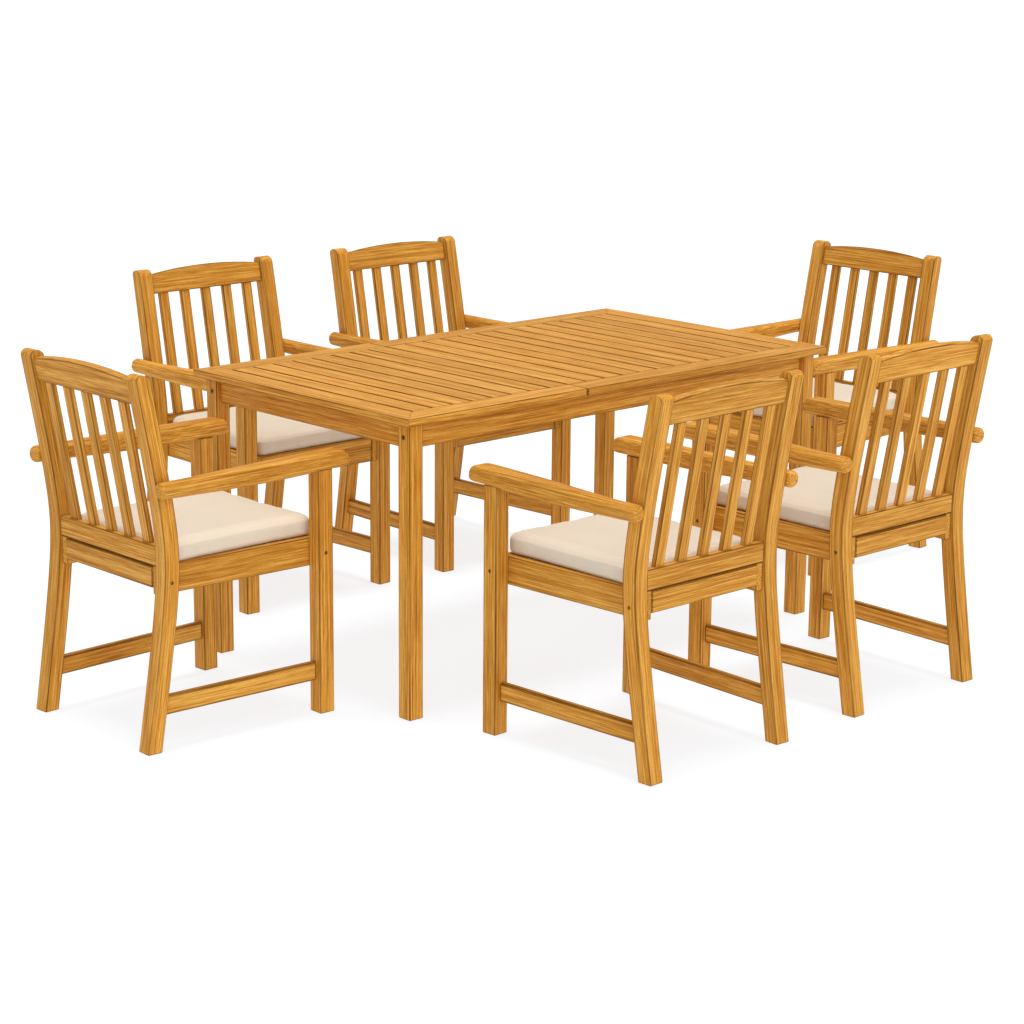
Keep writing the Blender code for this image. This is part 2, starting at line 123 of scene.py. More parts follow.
@named
class PATIO_TableSizes(PropertyGroup):
    left_slats: count("Slats of the short panel of the top", 8)
    right_slats: count("Slats of the long panel of the top", 13)
    slat_gap: length("Open gap between two slats", 0.005)
    batten_offset: length("From the table's centre line to a batten's", 0.220)
    batten_width: length("Width of the battens under the slats", 0.040)
    batten_end: length("From a panel's outermost slat edge to the batten's end", 0.004)
    apron_round: length("Radius of an apron's lower corners", 0.008)
    ease: length("Radius of the sanded edges of the boards", 0.002)
    seam_gap: length("Open gap between the long rails at the seam", 0.0012)
    seam_round: length("Radius of a long rail's outer corner at the seam", 0.006)
    bolt_head: length("Radius of a leg bolt's head", 0.0065)
    bolt_head_thick: length("Thickness of a leg bolt's head", 0.005)
    bolt_shank: length("Radius of a leg bolt's shank", 0.003)


@named
class PATIO_ChairSizes(PropertyGroup):
    front_half: length("Centre line to a front leg's outer face", 0.2587)
    rear_half: length("Centre line to a rear leg's outer face", 0.2388)
    leg: length("Side of the square legs", 0.042)
    rear_depth: length("Rear leg from front to back", 0.039)
    rear_centre: length("Front of the front leg to the rear leg's middle", 0.4575)
    waist: length("Height where the rear leg is upright", 0.455)
    waist_round: length("How softly the rear leg bends at its waist", 0.021)
    foot_rake: number("Slope of the rear leg below its waist", 0.17)
    back_rake: number("Slope of the rear leg above its waist", 0.20)
    post_top: length("Height of the rear legs", 0.893)
    post_round: length("Height of the rounded top of a rear leg", 0.016)
    stretcher_low: length("Height of a stretcher's lower edge", 0.083)
    stretcher_high: length("Height of a stretcher's upper edge", 0.129)
    stretcher_thick: length("Thickness of the stretchers", 0.020)
    stretcher_inset: length("From the legs' outer faces to a stretcher's", 0.015)
    seat_low: length("Height of the seat rails' lower edge", 0.365)
    seat_high: length("Height of the seat rails' upper edge", 0.434)
    seat_rail: length("Thickness of the seat rails", 0.020)
    seat_front: length("From the legs' front to the front rail's", 0.009)
    rear_rail_low: length("Height of the rear seat rail's lower edge", 0.380)
    rear_rail_high: length("Height of the rear seat rail's upper edge", 0.430)
    seat_back: length("From the legs' front to the back of the rear rails", 0.472)
    seat_slats: count("Slats under the cushion", 7)
    seat_slat_width: length("Width of the slats under the cushion", 0.050)
    seat_slat_thick: length("Thickness of the slats under the cushion", 0.014)
    back_rail_low: length("Height of the lower back rail's lower edge", 0.435)
    back_rail_high: length("Height of the lower back rail's upper edge", 0.483)
    back_rail_thick: length("Thickness of the lower back rail", 0.022)
    crest_low: length("Height of the crest rail's lower edge", 0.822)
    crest_high: length("Height of the crest rail's upper edge at its ends", 0.877)
    crest_rise: length("How far the crest rail arches up", 0.014)
    crest_thick: length("Thickness of the crest rail", 0.023)
    back_slats: count("Upright slats of a back", 5)
    back_slat_width: length("Width of the upright slats", 0.030)
    back_slat_thick: length("Thickness of the upright slats", 0.013)
    back_slat_pitch: length("From one upright slat to the next", 0.074)
    arm_top: length("Height of the arms' upper face", 0.648)
    arm_bottom: length("Height of the arms' lower face", 0.608)
    arm_nose: length("How far an arm reaches in front of its leg", 0.052)
    arm_rear: length("From the front legs' front to an arm's rear end", 0.505)
    arm_nose_round: length("Radius of an arm's upper front edge", 0.026)
    arm_end_round: length("Radius of an arm's rear end", 0.010)
    arm_overhang: length("How far an arm reaches outside its front leg", 0.006)
    arm_front_width: length("Width of an arm at its nose", 0.053)
    arm_rear_width: length("Width of an arm at its rear end", 0.040)
    arm_belly: length("How far an arm's underside hangs between its ends", 0.005)
    arm_joint: length("From the front legs' front to where an arm meets its rear leg", 0.4375)
    bolt_height: length("Height of the bolts through the legs", 0.402)
    bolt_head: length("Radius of a seat bolt's head", 0.0042)
    bolt_hole: length("Radius of the holes that the seat bolts sit in", 0.0050)
    bolt_sunk: length("From a leg's outer face to a bolt's head", 0.0015)
    ease: length("Radius of the sanded edges of the boards", 0.0025)


@named
class PATIO_CushionSizes(PropertyGroup):
    width: length("Cushion from side to side", 0.410)
    depth: length("Cushion from front to back", 0.435)
    thickness: length("Height of the boxed side band", 0.046)
    corner: length("Radius of the corners seen from above", 0.020)
    edge: length("Radius of the edge between the top and the side band", 0.009)
    swell: length("The most that the filling may push the cloth out", 0.008)
    seam_depth: length("How deep the stitched seams lie", 0.0014)
    seam_width: length("How far a seam draws in the cloth beside it", 0.0030)


@named
class PATIO_Finishes(PropertyGroup):
    timber_light: colour("Early wood of the oiled acacia", "#E4AC50")
    timber_mid: colour("Body colour of the oiled acacia", "#C28126")
    timber_dark: colour("Late wood of the oiled acacia", "#8E5218")
    cloth: colour("Polyester cushion cover", "#DFD1BB")
    steel: colour("Yellow zinc on the bolts", "#866737")
    floor: colour("Studio floor", "#868E98")


@named
class PATIO_Studio(PropertyGroup):
    place: vector("Where the camera stands", (-4.7577, -4.9464, 1.9884))
    turn: angle("Heading, clockwise from +Y", math.radians(43.161))
    tilt: angle("How far the camera looks down", math.radians(13.752))
    roll: angle("Turn about the line of sight", math.radians(0.476))
    lens: number("Focal length in millimetres on a 36 mm sensor", 91.63)
    sky: number("Strength of the light from all round", 0.55)
    key: number("Strength of the soft light from above", 2.05)
    fill: number("Strength of the softer light by the camera", 1.45)
    glow: number("Light of the floor's own, which keeps its shadows pale", 0.77)


# ---- meshes


def put(thing, **settings):
    """Sets several settings of a thing, and gives it back."""
    for key, value in settings.items():
        setattr(thing, key, value)
    return thing


def section(width, height, ease, steps=EASE_STEPS):
    """An oblong with rounded corners, as (y, z) points round its middle."""
    ease = max(min(ease, width / 2 - 1e-5, height / 2 - 1e-5), 1e-5)
    points = []
    for corner, (side, up) in enumerate(((1, 1), (-1, 1), (-1, -1), (1, -1))):
        for step in range(steps + 1):
            turn = (corner + step / steps) * math.pi / 2
            y = side * (width / 2 - ease) + ease * math.cos(turn)
            z = up * (height / 2 - ease) + ease * math.sin(turn)
            points.append((y, z))
    return points


def sweep(name, rings, near_end=EASE_STEPS, far_end=EASE_STEPS):
    """A closed solid through section rings. Its eased corners and ends are marked to be painted darker:
    partly oil held in them, partly painted shade along the edges.
    """
    bm = bmesh.new()
    arris = bm.faces.layers.float.new("arris")
    rows = [[bm.verts.new(point) for point in ring] for ring in rings]
    for k, (row, following) in enumerate(zip(rows, rows[1:])):
        at_end = k < near_end or k >= len(rows) - 1 - far_end
        for i in range(len(row)):
            j = (i + 1) % len(row)
            face = bm.faces.new((row[i], row[j], following[j], following[i]))
            at_corner = i % (EASE_STEPS + 1) != EASE_STEPS
            # eased corners and ends are painted darker: partly oil, partly painted shade along the edge
            face[arris] = EDGE_OIL_AND_SHADE * (at_end or at_corner)
    bm.faces.new(rows[0])
    bm.faces.new(rows[-1])
    return mesh_from(bm, name)


def mesh_from(bm, name):
    bmesh.ops.recalc_face_normals(bm, faces=bm.faces)
    mesh = bpy.data.meshes.new(name)
    bm.to_mesh(mesh)
    bm.free()
    mesh.shade_smooth()
    return mesh


def eased_ends(long, ease):
    """(place along a board, how far its section is drawn in) from one eased end to the other."""
    near = []
    for step in range(EASE_STEPS + 1):
        turn = step / EASE_STEPS * math.pi / 2
        near.append((long / 2 - ease * (1 - math.sin(turn)), ease * (1 - math.cos(turn))))
    return [(-x, drawn) for x, drawn in reversed(near)] + near


def board(name, long, wide, thick, ease, skew=(0.0, 0.0)):
    """A straight board about its own middle. Skew is the slope of each end, 1 on a mitre."""
    rings = []
    for x, drawn in eased_ends(long, ease):
        slope = skew[0] if x < 0 else skew[1]
        ring = section(wide - 2 * drawn, thick - 2 * drawn, ease - drawn)
        rings.append([(x + slope * y, y, z) for y, z in ring])
    return sweep(name, rings, *(0 if slope else EASE_STEPS for slope in skew))


def plank(name, outline, thick, ease):
    """A board sawn to an outline in local XY, with all its sharp edges eased."""
    bm = bmesh.new()
    arris = bm.faces.layers.float.new("arris")
    face = bm.faces.new([bm.verts.new((x, y, -thick / 2)) for x, y in outline])
    grown = bmesh.ops.extrude_face_region(bm, geom=[face])
    top = [item for item in grown["geom"] if isinstance(item, bmesh.types.BMVert)]
    bmesh.ops.translate(bm, verts=top, vec=(0.0, 0.0, thick))
    bmesh.ops.recalc_face_normals(bm, faces=bm.faces)
    edges = [edge for edge in bm.edges if abs(edge.calc_face_angle(0.0)) > SHARP]
    settings = {"offset": ease, "segments": EASE_STEPS, "profile": 0.5, "affect": "EDGES"}
    eased = bmesh.ops.bevel(bm, geom=edges, **settings)
    # the eased faces are painted darker: partly oil held in them, partly painted shade along the edge
    for face in eased["faces"]:
        face[arris] = EDGE_OIL_AND_SHADE
    return mesh_from(bm, name)


def stain_sides(mesh):
    """Marks a board's narrow sides like its eased edges, for painted shade: they face an open gap, where
    the shade falls.
    """
    for face, mark in zip(mesh.polygons, mesh.attributes["arris"].data):
        if abs(face.normal.z) < 0.5:
            # painted shade on the sides that face a gap
            mark.value = 1.0


def arc(x, y, radius, first, last, steps):
    """Points on a round stretch of an outline about (x, y), between two angles in degrees."""
    turns = [math.radians(first + (last - first) * step / steps) for step in range(steps + 1)]
    return [(x + radius * math.cos(turn), y + radius * math.sin(turn)) for turn in turns]


def cylinder(name, radius, start, end):
    """A round bar between two points."""
    line, middle = Vector(end) - Vector(start), (Vector(start) + Vector(end)) / 2
    bm = bmesh.new()
    place = Matrix.Translation(middle) @ line.to_track_quat("Z", "Y").to_matrix().to_4x4()
    size = {"radius1": radius, "radius2": radius, "depth": line.length}
    bmesh.ops.create_cone(bm, cap_ends=True, segments=DRILL_SIDES, matrix=place, **size)
    return mesh_from(bm, name)


def new_object(name, data):
    """An object in the scene's collection."""
    made = bpy.data.objects.new(name, data)
    bpy.context.scene.collection.objects.link(made)
    return made


def drilled(mesh, holes):
    """The mesh with round holes cut out of it."""
    piece, cutters = new_object(mesh.name, mesh), []
    for hole in holes:
        cutter = new_object("drill", hole)
        put(piece.modifiers.new("drill", "BOOLEAN"), object=cutter, solver="EXACT")
        cutters.append(cutter)
    made = evaluated(piece)
    for spare in (piece, *cutters):
        bpy.data.objects.remove(spare, do_unlink=True)
    made.name = mesh.name
    return made


def evaluated(piece):
    """The piece's mesh with its modifiers applied."""
    bpy.context.view_layer.update()
    graph = bpy.context.evaluated_depsgraph_get()
    return bpy.data.meshes.new_from_object(piece.evaluated_get(graph))


def flipped(mesh, axis):
    """A mirrored copy of a mesh, for the other side of a chair."""
    copy = mesh.copy()
    copy.transform(Matrix.Scale(-1.0, 4, axis))
    copy.flip_normals()
    return copy


def axes(origin, along, across):
    """A frame at the origin given, with its X along the first way and its Y along the second."""
    along, across = Vector(along).normalized(), Vector(across).normalized()
    made = Matrix((along, across, along.cross(across))).transposed().to_4x4()
    made.translation = origin
    return made


# ---- placing


def add_piece(name, mesh, place, body, node, slot, material):
    """One visible piece, riding on its body and standing for its node."""
    piece = new_object(name, mesh)
    piece.matrix_world = place
    if not mesh.materials:
        mesh.materials.append(material)
    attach(piece, body)
    if node:
        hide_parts(node)
    return piece


def add_board(name, mesh, place, body, node):
    """A timber piece, whose flat faces shade flat up to their eased edges."""
    piece = add_piece(name, mesh, place, body, node, TIMBER_SLOT, oiled_acacia())
    put(piece.modifiers.new("flat faces", "WEIGHTED_NORMAL"), weight=100, keep_sharp=True)


def middle_and_size(node):
    """The middle and the size of a node's box."""
    low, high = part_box(node)
    return (low + high) / 2, high - low


def chair_frame(name, sizes):
    """Where a chair stands, from the boxes of its side frames."""
    heading = math.radians(CHAIRS[name])
    forward = Vector((round(math.cos(heading)), round(math.sin(heading)), 0.0))
    left = Vector((-forward.y, forward.x, 0.0))
    corners = [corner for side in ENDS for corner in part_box(f"{name}_{side}_side_frame")]
    front = max(corner.dot(forward) for corner in corners) - sizes.leg * math.sin(side_angle(sizes))
    across = [corner.dot(left) for corner in corners]
    return axes(forward * front + left * (max(across) + min(across)) / 2, forward, left)


def on_every_chair(sizes, pieces):
    """Places (piece name, mesh, place in the chair's frame, node) on all the chairs."""
    for name in CHAIRS:
        chair = chair_frame(name, sizes)
        for piece, mesh, place, node in pieces:
            add_board(f"{name}_{piece}", mesh, chair @ place, name, f"{name}_{node}")


def both_sides(piece, mesh, place, node, axis):
    """A left piece and its mirror image on the right, for on_every_chair."""
    own = Matrix.Scale(-1.0, 4, axis)
    return [
        (f"left_{piece}", mesh, place, node.format(side="left")),
        (f"right_{piece}", flipped(mesh, axis), ACROSS @ place @ own, node.format(side="right")),
    ]


# ---- materials


def set_inputs(node, inputs):
    """Sets a node's inputs, given by name or in their order, to values or links them to sockets."""
    for key, value in inputs.items() if isinstance(inputs, dict) else enumerate(inputs):
        if isinstance(value, bpy.types.NodeSocket):
            node.id_data.links.new(value, node.inputs[key])
        else:
            node.inputs[key].default_value = value


def add_node(tree, kind, inputs=(), give=0, **settings):
    """Adds a shader node with its settings and its inputs, and gives one of its outputs."""
    node = put(tree.nodes.new(f"ShaderNode{kind}"), **settings)
    set_inputs(node, inputs)
    return node.outputs[give]


def made_once(recipe):
    """Makes the material that a recipe describes the first time, and finds it afterwards."""

    @functools.wraps(recipe)
    def find():
        material = bpy.data.materials.get(recipe.__name__)
        if not material:
            material = bpy.data.materials.new(recipe.__name__)
            material.use_nodes = True
            tree, finishes = material.node_tree, bpy.context.scene.patio_finishes
            add = functools.partial(add_node, tree)
            surface = recipe(add, add("TexCoord", give="Object"), finishes)
            set_inputs(tree.nodes["Principled BSDF"], surface)
        return material

    return find


@made_once
def oiled_acacia(add, place, finishes):
    """Planed, sanded and oiled acacia: honey brown with straight brown grain lines, eased edges painted
    darker (partly oil gathered there, partly painted shade), painted shade on the sides in gaps, and a
    low satin sheen."""
    ring = 0.0060  # metres between growth rings
    streak, fibre, pore = 0.0038, 0.0016, 0.0005  # widths of soft streaks, fine fibres and open pores
    ring_share, streak_share, fibre_share = 0.18, 0.47, 0.35  # how much of the figure each makes
    log_size, off_pith = (9.0, 0.30, 0.16), (0.5, 0.5, -0.35)
    meander = 0.022  # how far the rings stray from round
    own = add("ObjectInfo", give="Random")
    dice = add("TexWhiteNoise", {"W": own}, "Color", noise_dimensions="1D")

    # Each board is cut from its own place in the log, well away from the pith.
    aside = add("VectorMath", (dice, off_pith), operation="SUBTRACT")
    cut = add("VectorMath", (aside, log_size), operation="MULTIPLY")
    bend = add("Attribute", give="Vector", attribute_name="bend")
    grain = add("VectorMath", (place, bend), operation="ADD")
    log = add("VectorMath", (grain, cut), operation="ADD")

    def stretched(along, across, detail, roughness):
        """Noise drawn out along the grain, with features this long and this wide."""
        scaled = add("VectorMath", (log, (1 / along, 1 / across, 1 / across)), operation="MULTIPLY")
        inputs = {"Vector": scaled, "Scale": 1.0, "Detail": detail, "Roughness": roughness}
        return add("TexNoise", inputs, "Fac")

    y, z = (add("SeparateXYZ", (log,), axis) for axis in "YZ")
    across = add("CombineXYZ", (0.0, y, z))
    radius = add("VectorMath", (across,), "Value", operation="LENGTH")
    wander = add("Math", (stretched(0.9, 0.10, 1.0, 0.5), meander), operation="MULTIPLY")
    reach = add("Math", (radius, wander), operation="ADD")
    turns = add("Math", (reach, 1 / ring), operation="MULTIPLY")
    inputs = {"W": turns, "Scale": 1.0, "Detail": 2.0, "Roughness": 0.6}
    rings = add("TexNoise", inputs, "Fac", noise_dimensions="1D")
    streaks = stretched(0.22, streak, 3.0, 0.6)
    fibres = stretched(0.06, fibre, 3.0, 0.6)
    pores = stretched(0.009, pore, 1.0, 0.5)
    figure = add("Math", (rings, ring_share), operation="MULTIPLY")
    figure = add("Math", (streaks, streak_share, figure), operation="MULTIPLY_ADD")
    figure = add("Math", (fibres, fibre_share, figure), operation="MULTIPLY_ADD")

    toned = add("ValToRGB", {"Fac": figure}, "Color")
    ramp = toned.node.color_ramp.elements
    ramp.new(0.48)
    shades = ((0.34, finishes.timber_dark), (0.48, finishes.timber_mid), (0.61, finishes.timber_light))
    for element, (position, shade) in zip(ramp, shades):
        element.position, element.color = position, hex_colour(shade)
    open_pores = add("MapRange", (pores, 0.30, 0.42, 0.74, 1.0))
    board_tone = add("MapRange", (own, 0.0, 1.0, 0.93, 1.07))
    # Painted shade: eased edges (partly oil held there too), the sides of open gaps and the table's seam
    # are painted down to 0.14 of their colour, less in some streaks.
    arris = add("Attribute", give="Fac", attribute_name="arris")
    patchy = add("MapRange", (streaks, 0.3, 0.6, 1.0, 0.7))
    oil_and_shade_share = add("Math", (arris, patchy), operation="MULTIPLY")
    oil_and_shade_darkening = add("MapRange", (oil_and_shade_share, 0.0, 1.0, 1.0, 0.14))
    value = add("Math", (open_pores, board_tone), operation="MULTIPLY")
    value = add("Math", (value, oil_and_shade_darkening), operation="MULTIPLY")
    relief = add("Math", (fibres, open_pores), operation="ADD")
    height = add("Math", (relief, 0.5), operation="MULTIPLY")
    return {
        "Base Color": add("HueSaturation", {"Color": toned, "Value": value}),
        "Roughness": add("MapRange", (figure, 0.35, 0.65, 0.60, 0.48)),
        "Normal": add("Bump", {"Height": height, "Strength": 0.35, "Distance": 0.0004}),
        "IOR": 1.50,
        "Specular IOR Level": 0.15,
    }


@made_once
def woven_polyester(add, place, finishes):
    """Plain-woven polyester canvas: matt cream cloth with a fine square weave and a faint bloom."""
    thread = 0.0012  # real threads lie 0.6 mm apart; drawn twice as coarse so that they show
    turned = add("VectorMath", (place, (TAU / thread,) * 3), operation="MULTIPLY")
    waves = add("VectorMath", (turned,), operation="SINE")
    weave = add("VectorMath", (waves, (1.0, 1.0, 1.0)), "Value", operation="DOT_PRODUCT")
    slub = add("TexNoise", {"Vector": place, "Scale": 260.0, "Detail": 3.0}, "Fac")
    cloudy = add("TexNoise", {"Vector": place, "Scale": 9.0, "Detail": 3.0}, "Fac")
    crossing = add("MapRange", (weave, -2.0, 2.0, 0.93, 1.03))
    drift = add("MapRange", (cloudy, 0.0, 1.0, 0.95, 1.05))
    shade = add("Math", (crossing, drift), operation="MULTIPLY")
    height = add("Math", (weave, slub), operation="ADD")
    return {
        "Base Color": add("HueSaturation", {"Color": hex_colour(finishes.cloth), "Value": shade}),
        "Roughness": add("MapRange", (slub, 0.0, 1.0, 0.82, 0.95)),
        "Normal": add("Bump", {"Height": height, "Strength": 0.35, "Distance": 0.00025}),
        "Sheen Weight": 0.25,
        "Sheen Roughness": 0.5,
        "IOR": 1.46,
    }


@made_once
def zinc_plated_steel(add, place, finishes):
    """Cold-headed steel, zinc plated and yellow passivated: a soft brassy metal with fine scuffs."""
    scuffs = add("TexNoise", {"Vector": place, "Scale": 900.0, "Detail": 4.0}, "Fac")
    value = add("MapRange", (scuffs, 0.0, 1.0, 0.85, 1.1))
    return {
        "Base Color": add("HueSaturation", {"Color": hex_colour(finishes.steel), "Value": value}),
        "Roughness": add("MapRange", (scuffs, 0.0, 1.0, 0.28, 0.48)),
        "Metallic": 1.0,
    }


@made_once
def painted_floor(add, place, finishes):
    """Rolled white studio paint, almost without texture, lit a little from within like a light table."""
    roller = add("TexNoise", {"Vector": place, "Scale": 30.0, "Detail": 2.0}, "Fac")
    return {
        "Base Color": hex_colour(finishes.floor),
        "Roughness": add("MapRange", (roller, 0.0, 1.0, 0.78, 0.86)),
        "Emission Color": (1.0, 1.0, 1.0, 1.0),
        "Emission Strength": bpy.context.scene.patio_studio.glow,
        "Specular IOR Level": 0.1,
    }


# ---- table


class PATIO_OT_table_top(Operator):
    """Mitred rails, slats and battens of the two panels of the top"""

    bl_idname = "patio.table_top"
    bl_label = "Table top"

    def execute(self, context):
        sizes = context.scene.patio_table
        self.rails(sizes)
        self.slats(sizes)
        self.battens(sizes)
        return {"FINISHED"}

    def rails(self, sizes):
        """An end rail for each panel, mitred to the two long rails that run to the seam."""
        slats = middle_and_size("table_left_top_slats")[1]
        for name, side in ENDS.items():
            node = f"table_{name}_top_frame"
            middle, size = middle_and_size(node)
            border = (size.y - slats.y) / 2
            end = board(f"{name} end rail", size.y - border, border, size.z, sizes.ease, (side, -side))
            x = middle.x + side * (size.x - border) / 2
            place = axes((x, middle.y, middle.z), *LYING)
            add_board(f"top_{name}_end_rail", end, place, "table", node)
            for edge, way in EDGES.items():
                mesh = self.long_rail(f"{name} {edge} rail", size.x, border, size.z, sizes, side * way)
                y = middle.y + way * (size.y - border) / 2
                place = axes((middle.x, y, middle.z), (-side, 0, 0), (0, -side, 0))
                add_board(f"top_{name}_{edge}_rail", mesh, place, "table", node)

    def long_rail(self, name, long, border, thick, sizes, outward):
        """A rail with a mitre at its -X end, and its outer corner rounded at the other."""
        half, side, round_ = long / 2, border / 2, sizes.seam_round
        end, steps = half - sizes.seam_gap / 2, 5
        points = [(-half, side), (-half + border, -side), (end, -side)]
        points += arc(end - round_, side - round_, round_, 0, 90, steps)
        if outward > 0:
            points = [(x, -y) for x, y in reversed(points)]
        mesh = plank(name, points, thick, sizes.ease)
        mitre = Vector((-1.0, outward, 0.0)).normalized()
        for face, mark in zip(mesh.polygons, mesh.attributes["arris"].data):
            if face.normal.dot(mitre) > 0.2 and face.normal.x < -0.1:
                mark.value = 0.0  # the mitre is glued tight
            elif face.normal.x > 0.3:
                mark.value = EDGE_OIL_AND_SHADE  # the seam stays open, and gets painted shade
        return mesh

    def slats(self, sizes):
        """Slats at one pitch over both panels. The rails' seam lies in one of their gaps."""
        low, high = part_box("table_left_top_slats")
        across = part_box("table_right_top_slats")[1].x - low.x
        pitch = (across + sizes.slat_gap) / (sizes.left_slats + sizes.right_slats)
        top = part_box("table_left_top_frame")
        thick = top[1].z - top[0].z
        mesh = board("top slat", high.y - low.y, pitch - sizes.slat_gap, thick, sizes.ease)
        # the slats' narrow sides in the gaps get painted shade
        stain_sides(mesh)
        for i in range(sizes.left_slats + sizes.right_slats):
            panel = "left" if i < sizes.left_slats else "right"
            x = low.x + i * pitch + (pitch - sizes.slat_gap) / 2
            place = axes((x, (low.y + high.y) / 2, top[1].z - thick / 2), *LYING)
            add_board(f"top_slat_{i + 1:02d}", mesh, place, "table", f"table_{panel}_top_slats")

    def battens(self, sizes):
        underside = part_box("table_left_top_frame")[0].z
        for panel in ENDS:
            node = f"table_{panel}_top_slats"
            low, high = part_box(node)
            thick, long = underside - low.z, high.x - low.x - 2 * sizes.batten_end
            mesh = board(f"{panel} batten", long, sizes.batten_width, thick, sizes.ease)
            for edge, way in EDGES.items():
                y = (low.y + high.y) / 2 + way * sizes.batten_offset
                place = Matrix.Translation(((low.x + high.x) / 2, y, low.z + thick / 2))
                add_board(f"top_{panel}_{edge}_batten", mesh, place, "table", node)


class PATIO_OT_table_base(Operator):
    """Legs, aprons and bearers under the top, and the bolts that hold the legs"""

    bl_idname = "patio.table_base"
    bl_label = "Table base"

    def execute(self, context):
        sizes = context.scene.patio_table
        for end, side in ENDS.items():
            self.apron(f"{end}_apron", sizes, along_y=True)
            for edge in EDGES:
                self.leg(f"{edge}_{end}", side, sizes)
        for edge in EDGES:
            self.apron(f"{edge}_apron", sizes, along_y=False)
        for name in ("seam_bearer", "right_bearer"):
            middle, size = middle_and_size(f"table_{name}")
            mesh = board(name, size.y, size.x, size.z, sizes.ease)
            place = axes(middle, *LYING)
            add_board(f"under_{name}", mesh, place, "table", f"table_{name}")
        return {"FINISHED"}

    def apron(self, name, sizes, along_y):
        """A board on edge with its two lower corners rounded."""
        middle, size = middle_and_size(f"table_{name}")
        long, thick = (size.y, size.x) if along_y else (size.x, size.y)
        half, tall, round_, steps = long / 2, size.z / 2, sizes.apron_round, 6
        points = [(-half, tall)] + arc(-half + round_, -tall + round_, round_, 180, 270, steps)
        points += arc(half - round_, -tall + round_, round_, 270, 360, steps) + [(half, tall)]
        place = axes(middle, (0, 1, 0) if along_y else (1, 0, 0), (0, 0, 1))
        mesh = plank(name, points, thick, sizes.ease)
        add_board(f"under_{name}", mesh, place, "table", f"table_{name}")

    def leg(self, corner, side, sizes):
        """A square leg with eased edges, drilled for its bolt."""
        middle, size = middle_and_size(f"table_{corner}_leg")
        bolt, bolt_size = middle_and_size(f"table_{corner}_bolt")
        inward = Vector((-side, 0.0, 0.0))
        head = bolt - inward * bolt_size.x / 2
        mouth = Vector((middle.x + side * size.x / 2, bolt.y, bolt.z))
        bottom = mouth + inward * ((mouth - head).length + sizes.bolt_head_thick + CLEAR)
        place = axes(middle, (0, 0, 1), (0, 1, 0))
        into = place.inverted()
        seat = cylinder("seat", sizes.bolt_head + CLEAR, into @ (mouth - inward * RUN_OUT), into @ bottom)
        mesh = drilled(board(f"{corner} leg", size.z, size.y, size.x, sizes.ease), [seat])
        add_board(f"leg_{corner}", mesh, place, "table", f"table_{corner}_leg")
        shape = (sizes.bolt_head, sizes.bolt_head_thick, sizes.bolt_shank, bolt_size.x)
        mesh, place = socket_bolt("leg bolt", *shape), axes(head, inward, (0, 1, 0))
        node, steel = f"table_{corner}_bolt", zinc_plated_steel()
        add_piece(f"leg_bolt_{corner}", mesh, place, "table", node, STEEL_SLOT, steel)


def socket_bolt(name, head, head_thick, shank, long):
    """A bolt along +X from the top of its head, with a hexagon socket in the head."""
    socket, depth, round_, chamfer = head * 0.46, head_thick * 0.55, 0.0006, shank * 0.4
    profile = [(depth, socket), (0.0, socket), (0.0, head - round_), (round_, head), (head_thick, head)]
    profile += [(head_thick, shank), (long - chamfer, shank), (long, shank - chamfer)]
    turns, half_flat, rings = [TAU * i / BOLT_SIDES for i in range(BOLT_SIDES)], math.pi / 6, []
    hexagon = [math.cos(half_flat) / math.cos(turn % (2 * half_flat) - half_flat) for turn in turns]
    for row, (x, radius) in enumerate(profile):
        shape = hexagon if row < 2 else [1.0] * BOLT_SIDES  # the first two rows are the socket's
        reach = [radius * part for part in shape]
        rings.append([(x, r * math.cos(turn), r * math.sin(turn)) for r, turn in zip(reach, turns)])
    mesh = sweep(name, rings)
    mesh.set_sharp_from_angle(angle=SHARP)
    return mesh


# ---- chairs


def lean(sizes, height):
    """How far the rear leg stands behind its waist at this height."""
    rake = sizes.back_rake if height > sizes.waist else sizes.foot_rake
    return math.hypot(sizes.waist_round, rake * (height - sizes.waist)) - sizes.waist_round


def side_angle(sizes):
    """How far a side frame turns in towards the back."""
    return math.atan((sizes.front_half - sizes.rear_half) / sizes.rear_centre)


def side_face(sizes, x, inset=0.0):
    """Half width of the chair at the side frame's face, this far in from its outer face."""
    turn = side_angle(sizes)
    return sizes.front_half + x * math.tan(turn) - inset / math.cos(turn)


def side_place(sizes, rearward=0.0, inward=0.0, height=0.0, upright=True):
    """A frame on the left side frame: X up and Y rearward if upright, or X rearward and Y up."""
    turn = side_angle(sizes)
    back = Vector((-math.cos(turn), -math.sin(turn), 0.0))
    into = Vector((math.sin(turn), -math.cos(turn), 0.0))
    origin = Vector((0.0, sizes.front_half, height)) + back * rearward + into * inward
    if upright:
        return axes(origin, (0, 0, 1), back)
    return axes(origin, back, (0, 0, 1))


